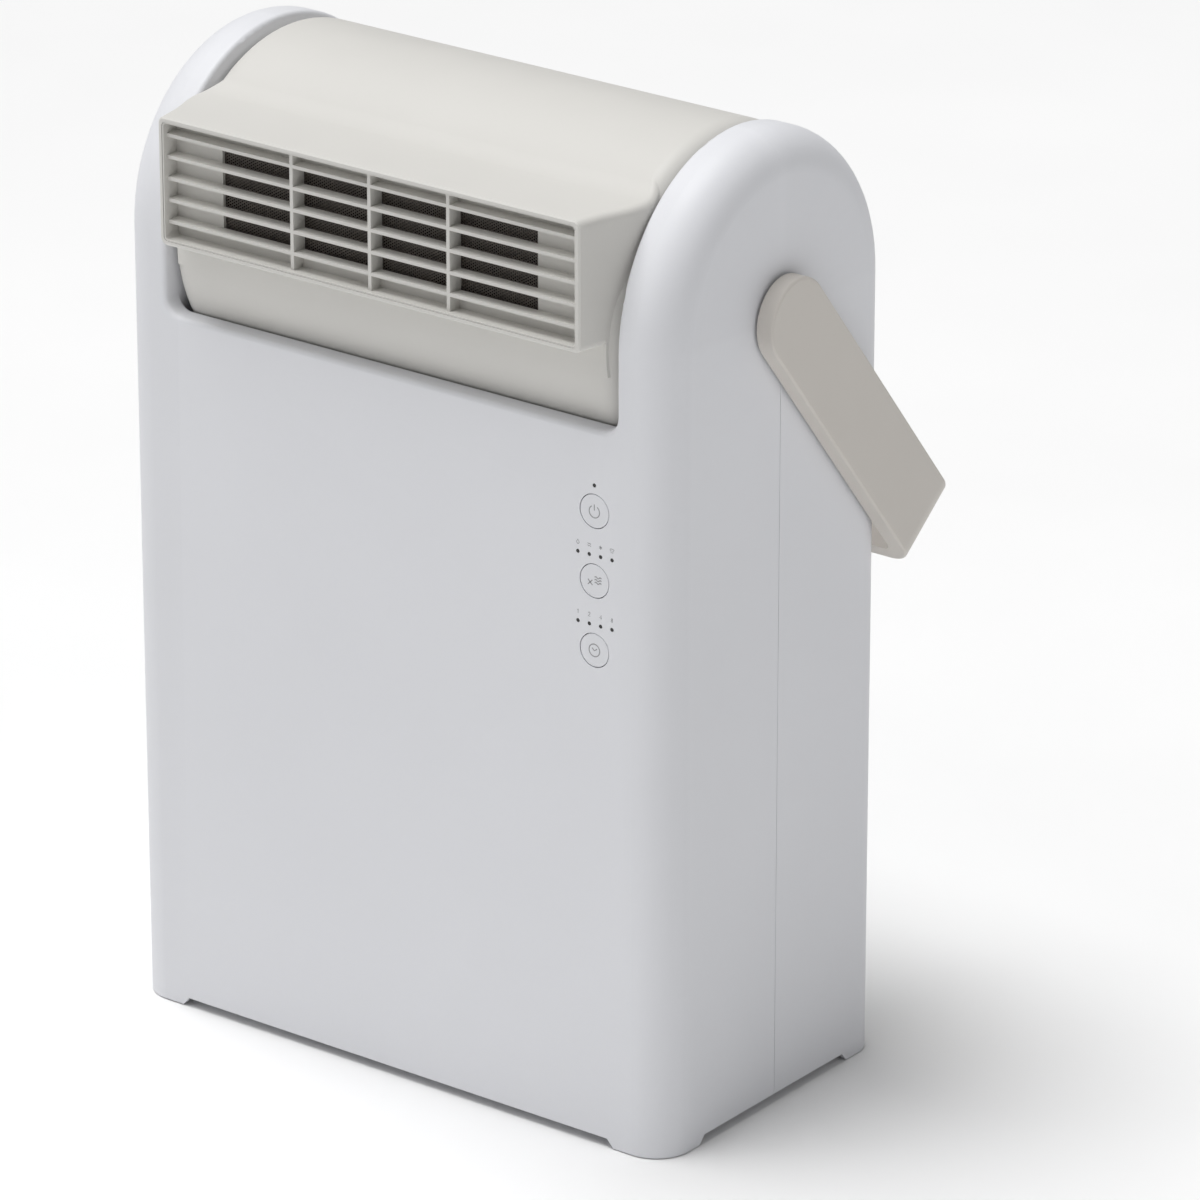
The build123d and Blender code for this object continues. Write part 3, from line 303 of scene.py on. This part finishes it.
def honeycomb():
    """Drying disc: fine corrugated cells of ceramic paper, with painted shade in the open cell
    hollows.
    """
    sh = Shader("ceramic_honeycomb")
    cells = sh.add("ShaderNodeTexVoronoi", feature="DISTANCE_TO_EDGE")
    cells.inputs["Scale"].default_value = 520.0
    sh.link(sh.place, cells.inputs["Vector"])
    # Painted shade: the middle of each cell is coloured dark brown where shade falls down the open
    # channel; the same map also drives the bump.
    depth = sh.remap(cells.outputs["Distance"], 0.0, 1.0, 0.05, 0.25)
    sh.link(sh.mix(depth, (0.66, 0.60, 0.47), (0.14, 0.12, 0.09)),
            sh.surface.inputs["Base Color"])
    sh.surface.inputs["Roughness"].default_value = 0.9
    sh.bump(depth, -0.6, 0.0008)
    return sh.material


def frosted():
    """Frosted tank plastic: translucent, with a satin skin."""
    sh = moulded("frosted_tank", (0.62, 0.67, 0.70), roughness=0.34, grain=0.06, specular=0.5)
    sh.surface.inputs["Transmission Weight"].default_value = 0.22
    sh.surface.inputs["IOR"].default_value = 1.49
    return sh.material


def woven(name, colour, roughness):
    """Thread or wire with a fine twist and dusty highlights."""
    sh = Shader(name)
    dust = sh.remap(sh.noise(650.0, 3.0), 0.0, 1.0)
    sh.link(sh.mix(dust, shade(colour, 0.7), shade(colour, 1.5)), sh.surface.inputs["Base Color"])
    sh.surface.inputs["Roughness"].default_value = roughness
    sh.bump(sh.noise(2600.0, 2.0), 0.2, 0.0001)
    return sh.material


def ink():
    """Pad-printed ink with slightly uneven cover."""
    sh = Shader("print_ink")
    cover = sh.remap(sh.noise(1800.0, 2.0), 0.0, 1.0)
    sh.link(sh.mix(cover, shade(INK, 1.35), INK), sh.surface.inputs["Base Color"])
    sh.surface.inputs["Roughness"].default_value = 0.6
    return sh.material


def smoked_lens():
    """Dark lens of an unlit indicator."""
    sh = Shader("smoked_lens")
    sh.link(sh.mix(sh.remap(sh.noise(2200.0), 0.0, 1.0), (0.008, 0.008, 0.008),
                   (0.020, 0.018, 0.018)), sh.surface.inputs["Base Color"])
    sh.surface.inputs["Roughness"].default_value = 0.22
    return sh.material


def rubber():
    """Foot pad rubber with a dusty bloom."""
    sh = Shader("pad_rubber")
    bloom = sh.remap(sh.noise(240.0), 0.0, 1.0)
    sh.link(sh.mix(bloom, (0.020, 0.020, 0.021), (0.055, 0.055, 0.055)),
            sh.surface.inputs["Base Color"])
    sh.surface.inputs["Roughness"].default_value = 0.85
    sh.bump(sh.noise(1400.0), 0.3, 0.0001)
    return sh.material


def foam():
    """Closed-cell foam of the float."""
    sh = Shader("float_foam")
    cells = sh.add("ShaderNodeTexVoronoi")
    cells.inputs["Scale"].default_value = 700.0
    sh.link(sh.place, cells.inputs["Vector"])
    sh.link(sh.mix(cells.outputs["Distance"], (0.80, 0.78, 0.71), (0.66, 0.64, 0.57)),
            sh.surface.inputs["Base Color"])
    sh.surface.inputs["Roughness"].default_value = 0.8
    sh.bump(cells.outputs["Distance"], 0.4, 0.0003)
    return sh.material


def dress_nodes():
    """Gives every CAD node the material of its record slot."""
    white = moulded("shell_plastic", WHITE, roughness=0.50).material
    inner = moulded("inner_plastic", (0.60, 0.60, 0.59), 0.55, 0.08).material
    by_slot = {
        "shell_white": white,
        "button_white": moulded("button_plastic", shade(WHITE, 1.01), 0.46).material,
        "drum_grey": drum_plastic(),
        "grille_grey": moulded("grille_plastic", DRUM, 0.50).material,
        "handle_greige": moulded("handle_plastic", GREIGE, 0.50).material,
        "guard_dark": woven("guard_wire", (0.105, 0.090, 0.076), 0.50),
        "pad_rubber": rubber(),
        "inner_white": inner,
        "inner_black": moulded("black_plastic", (0.025, 0.025, 0.027), 0.5).material,
        "gear_natural": moulded("acetal", (0.70, 0.68, 0.60), 0.38, 0.05).material,
        "steel": metal("turned_steel", (0.60, 0.60, 0.61), 0.28, (1.0, 9.0, 1.0)),
        "motor_steel": metal("zinc_plate", (0.46, 0.47, 0.48), 0.42),
        "heater_steel": metal("pressed_aluminium", (0.70, 0.70, 0.70), 0.38),
        "heater_ribbon": metal("heated_ribbon", (0.30, 0.24, 0.21), 0.45),
        "desiccant": honeycomb(),
        "tank_plastic": frosted(),
        "lid_plastic": moulded("lid_plastic", (0.66, 0.68, 0.69), 0.40, 0.06).material,
        "float_foam": foam(),
        "circuit": circuit_board(),
        "light_clear": smoked_lens(),
        "filter_mesh": woven("net_thread", (0.045, 0.047, 0.052), 0.7),
        "screw_zinc": metal("screw_zinc", (0.55, 0.55, 0.54), 0.35),
    }
    for part in frame["record"]["subparts"]:
        material = by_slot[part["material_slot"]]
        obj = nodes[part["node"]]
        for slot in obj.material_slots:
            slot.material = material
    return by_slot


# ------------------------------------------------------------------ mesh helpers

def new_piece(name, mesh_builder, material, body):
    """Makes an object from a bmesh and hangs it on its body."""
    mesh = bpy.data.meshes.new(name)
    mesh_builder.to_mesh(mesh)
    mesh_builder.free()
    mesh.materials.append(material)
    piece = bpy.data.objects.new(name, mesh)
    bpy.context.scene.collection.objects.link(piece)
    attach(piece, body)
    return piece


def add_stroke(bm, points, width, y_front, y_back, closed=False):
    """Adds a ribbon that follows points in the XZ plane, as a thin closed solid."""
    count = len(points)
    rails = []
    for index, (x, z) in enumerate(points):
        before = points[(index - 1) % count] if closed or index > 0 else points[index]
        after = points[(index + 1) % count] if closed or index < count - 1 else points[index]
        along = Vector((after[0] - before[0], after[1] - before[1])).normalized()
        side = Vector((-along.y, along.x)) * width / 2
        ring = []
        for sign, y in ((1, y_front), (-1, y_front), (-1, y_back), (1, y_back)):
            ring.append(bm.verts.new((x + sign * side.x, y, z + sign * side.y)))
        rails.append(ring)
    pairs = zip(rails, rails[1:] + rails[:1]) if closed else zip(rails, rails[1:])
    for first, second in pairs:
        for k in range(4):
            bm.faces.new((first[k], first[(k + 1) % 4], second[(k + 1) % 4], second[k]))
    if not closed:
        bm.faces.new(rails[0][::-1])
        bm.faces.new(rails[-1])


def arc_points(cx, cz, radius, start, end, steps):
    """Points on an arc, angles in degrees."""
    points = []
    for index in range(steps + 1):
        angle = math.radians(start + (end - start) * index / steps)
        points.append((cx + radius * math.cos(angle), cz + radius * math.sin(angle)))
    return points


def finish_mesh(bm):
    """Makes the faces point outwards."""
    bmesh.ops.recalc_face_normals(bm, faces=bm.faces)
    return bm


# ------------------------------------------------------------------ outlet mesh and filter net

def clip_line(x0, z0, x1, z1, low, high):
    """Cuts a line to a rectangle, or gives None."""
    enter, leave = 0.0, 1.0
    for start, step, lo, hi in ((x0, x1 - x0, low[0], high[0]), (z0, z1 - z0, low[1], high[1])):
        if abs(step) < 1e-9:
            if start < lo or start > hi:
                return None
            continue
        t0, t1 = sorted(((lo - start) / step, (hi - start) / step))
        enter, leave = max(enter, t0), min(leave, t1)
    if leave - enter < SHORTEST_CUT:
        return None
    return [(x0 + (x1 - x0) * t, z0 + (z1 - z0) * t) for t in (enter, leave)]


def make_outlet_mesh(material):
    """Diamond wire mesh behind the louvres, in two woven layers."""
    low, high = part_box("outlet_guard")
    run = (high.z - low.z) * WIRE_SLANT
    bm = bmesh.new()
    mid_y = (low.y + high.y) / 2
    for lean, y0, y1 in ((1, low.y, mid_y - LAYER_GAP), (-1, mid_y + LAYER_GAP, high.y)):
        x = low.x - run
        while x < high.x + run:
            line = clip_line(x, low.z, x + lean * run, high.z, (low.x, low.z), (high.x, high.z))
            if line:
                add_stroke(bm, line, WIRE_WIDTH, y0, y1)
            x += WIRE_PITCH
    piece = new_piece("outlet_mesh", finish_mesh(bm), material, "drum")
    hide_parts("outlet_guard")


def make_filter_net(material):
    """Woven dust net in the three windows of the filter frame."""
    low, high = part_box("filter_mesh")
    bm = bmesh.new()
    mid_y = (low.y + high.y) / 2
    window = FILTER_WINDOW
    middle_x = (low.x + high.x) / 2
    step = (high.x - low.x - window) / (FILTER_COLUMNS - 1)
    for column in range(FILTER_COLUMNS):
        centre = middle_x + (column - 1) * step
        count = int(window / THREAD_PITCH)
        for index in range(count + 1):
            x = centre - window / 2 + 0.3 * MM + index * (window - 0.6 * MM) / count
            add_stroke(bm, [(x, low.z), (x, high.z)], THREAD_WIDTH,
                       low.y, mid_y - LAYER_GAP / 2)
        rows = int((high.z - low.z) / THREAD_PITCH)
        for index in range(rows + 1):
            z = low.z + 0.2 * MM + index * (high.z - low.z - 0.4 * MM) / rows
            add_stroke(bm, [(centre - window / 2, z), (centre + window / 2, z)], THREAD_WIDTH,
                       mid_y + LAYER_GAP / 2, high.y)
    piece = new_piece("filter_net", finish_mesh(bm), material, "filter_cassette")
    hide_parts("filter_mesh")


# ------------------------------------------------------------------ printed marks

def button_middle(name):
    """X and Z of a button's centre, and the Y of its face."""
    low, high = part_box("button_" + name)
    return (low.x + high.x) / 2, (low.z + high.z) / 2, low.y


def print_strokes(name, strokes, y_face, material, body, width=LINE_WIDTH):
    """One printed mark made of strokes; closed strokes carry a True flag."""
    bm = bmesh.new()
    for points, closed in strokes:
        add_stroke(bm, points, width, y_face - PRINT_THICKNESS, y_face + 0.01 * MM, closed)
    new_piece(name, finish_mesh(bm), material, body)


def power_icon(x, z):
    """Open ring with a bar."""
    radius = 2.8 * MM
    ring = arc_points(x, z - 0.2 * MM, radius, 122, 418, 40)
    bar = [(x, z + 0.4 * MM), (x, z + 3.2 * MM)]
    return [(ring, False), (bar, False)]


def mode_icon(x, z):
    """Small fan wheel beside three air waves."""
    strokes = []
    hub_x, hub_z = x - 2.3 * MM, z - 0.9 * MM
    for index in range(4):
        start = math.radians(45 + 90 * index)
        reach = 1.7 * MM
        strokes.append(([(hub_x, hub_z),
                         (hub_x + reach * math.cos(start), hub_z + reach * math.sin(start))],
                        False))
    for row in range(3):
        wave = []
        for index in range(13):
            t = index / 12
            wave.append((x + 0.2 * MM + 3.6 * MM * t,
                         z + (1.9 - 1.3 * row) * MM + 0.35 * MM * math.sin(2 * math.pi * t * 1.5)))
        strokes.append((wave, False))
    return strokes


def timer_icon(x, z):
    """Clock ring with two hands."""
    ring = arc_points(x, z, 2.9 * MM, 0, 360, 40)[:-1]
    hands = [(x - 1.3 * MM, z + 1.0 * MM), (x, z - 0.2 * MM), (x + 1.5 * MM, z + 0.9 * MM)]
    return [(ring, True), (hands, False)]


DIGITS = {
    "1": [[(-0.25, 0.55), (0.1, 1.0), (0.1, -1.0)]],
    "2": [[(-0.5, 0.6), (-0.2, 1.0), (0.3, 0.95), (0.5, 0.5), (-0.5, -1.0), (0.55, -1.0)]],
    "4": [[(0.3, -1.0), (0.3, 1.0), (-0.6, -0.4), (0.6, -0.4)]],
    "8": [[(0.0, 0.05), (0.45, 0.5), (0.0, 1.0), (-0.45, 0.5), (0.0, 0.05)],
          [(0.0, 0.05), (0.5, -0.5), (0.0, -1.0), (-0.5, -0.5), (0.0, 0.05)]],
}


def digit_strokes(digit, x, z, size):
    """Strokes of a small numeral."""
    return [([(x + px * size, z + pz * size) for px, pz in line], False)
            for line in DIGITS[digit]]


def drop_strokes(x, z, size):
    """Water drop outline."""
    tip = (x, z + 1.2 * size)
    return [([tip] + arc_points(x, z - 0.2 * size, 0.75 * size, 40, -220, 12), True)]


def shirt_strokes(x, z, size):
    """Shirt outline."""
    shape = ((-0.4, 1.0), (-1.2, 0.5), (-0.9, 0.0), (-0.55, 0.2), (-0.55, -1.0), (0.55, -1.0),
             (0.55, 0.2), (0.9, 0.0), (1.2, 0.5), (0.4, 1.0), (0.0, 0.7))
    return [([(x + px * size, z + pz * size) for px, pz in shape], True)]


def star_strokes(x, z, size):
    """Six-armed snow mark."""
    strokes = []
    for index in range(3):
        angle = math.radians(30 + 60 * index)
        dx, dz = size * math.cos(angle), size * math.sin(angle)
        strokes.append(([(x - dx, z - dz), (x + dx, z + dz)], False))
    return strokes


def wave_strokes(x, z, size):
    """Two short waves."""
    strokes = []
    for row in (-0.5, 0.5):
        line = [(x + (t / 4 - 1) * size, z + (row + 0.25 * math.sin(t * math.pi / 2)) * size)
                for t in range(9)]
        strokes.append((line, False))
    return strokes


def make_prints(material):
    """Icons on the buttons and small marks over the lights."""
    icons = {"power": power_icon, "mode": mode_icon, "timer": timer_icon}
    for name, icon in icons.items():
        x, z, y = button_middle(name)
        print_strokes("icon_" + name, icon(x, z), y, material, name + "_button")
    light_rise = 12.0 * MM
    label_rise = light_rise + 4.4 * MM
    offsets = [value * MM for value in (-9.0, -2.8, 3.4, 9.6)]
    size = 0.95 * MM
    x, z, _ = button_middle("mode")
    marks = (drop_strokes, wave_strokes, star_strokes, shirt_strokes)
    for index, (mark, dx) in enumerate(zip(marks, offsets)):
        print_strokes(f"mark_mode_{index + 1}", mark(x + dx, z + label_rise, size), face_y,
                      material, "casing", 0.28 * MM)
    x, z, _ = button_middle("timer")
    for digit, dx in zip("1248", offsets):
        print_strokes("mark_hours_" + digit, digit_strokes(digit, x + dx, z + label_rise, size),
                      face_y, material, "casing", 0.30 * MM)


# ------------------------------------------------------------------ studio

def make_floor():
    """Wide pale floor with a faint paper tone."""
    bm = bmesh.new()
    bmesh.ops.create_grid(bm, x_segments=4, y_segments=4, size=FLOOR_HALF)
    mesh = bpy.data.meshes.new("floor")
    bm.to_mesh(mesh)
    bm.free()
    sh = Shader("paper_floor")
    tone = sh.remap(sh.noise(3.0), 0.0, 1.0)
    sh.link(sh.mix(tone, (0.93, 0.93, 0.93), (0.96, 0.96, 0.96)), sh.surface.inputs["Base Color"])
    sh.surface.inputs["Roughness"].default_value = 0.95
    sh.surface.inputs["Specular IOR Level"].default_value = 0.0
    mesh.materials.append(sh.material)
    floor = bpy.data.objects.new("floor", mesh)
    bpy.context.scene.collection.objects.link(floor)


def add_light(name, place, target, size, energy):
    """Square soft light aimed at a point."""
    data = bpy.data.lights.new(name, "AREA")
    data.shape = "SQUARE"
    data.size = size
    data.energy = energy
    lamp = bpy.data.objects.new(name, data)
    lamp.location = place
    lamp.rotation_mode = "QUATERNION"
    aim = Vector(target) - Vector(place)
    lamp.rotation_quaternion = aim.to_track_quat("-Z", "Y")
    bpy.context.scene.collection.objects.link(lamp)


def make_lights():
    """Very soft overhead light, two softboxes and a white room."""
    middle = (0.0, casing_y, AIM_HEIGHT)
    sky = bpy.data.lights.new("overhead", "SUN")
    sky.angle = math.radians(SUN_ANGLE)
    sky.energy = SUN_STRENGTH
    lamp = bpy.data.objects.new("overhead", sky)
    lamp.rotation_mode = "QUATERNION"
    lamp.rotation_quaternion = Vector(SUN_DIRECTION).to_track_quat("-Z", "Y")
    bpy.context.scene.collection.objects.link(lamp)
    for name, place, size, energy in SOFTBOXES:
        add_light(name, place, middle, size, energy)
    world = bpy.data.worlds.new("room")
    world.use_nodes = True
    background = world.node_tree.nodes["Background"]
    background.inputs["Color"].default_value = (1.0, 1.0, 1.0, 1.0)
    background.inputs["Strength"].default_value = ROOM_STRENGTH
    bpy.context.scene.world = world
    bpy.context.scene.view_settings.view_transform = "Standard"


make_camera()
slot_materials = dress_nodes()
make_outlet_mesh(slot_materials["guard_dark"])
make_filter_net(slot_materials["filter_mesh"])
make_prints(ink())
make_floor()
make_lights()
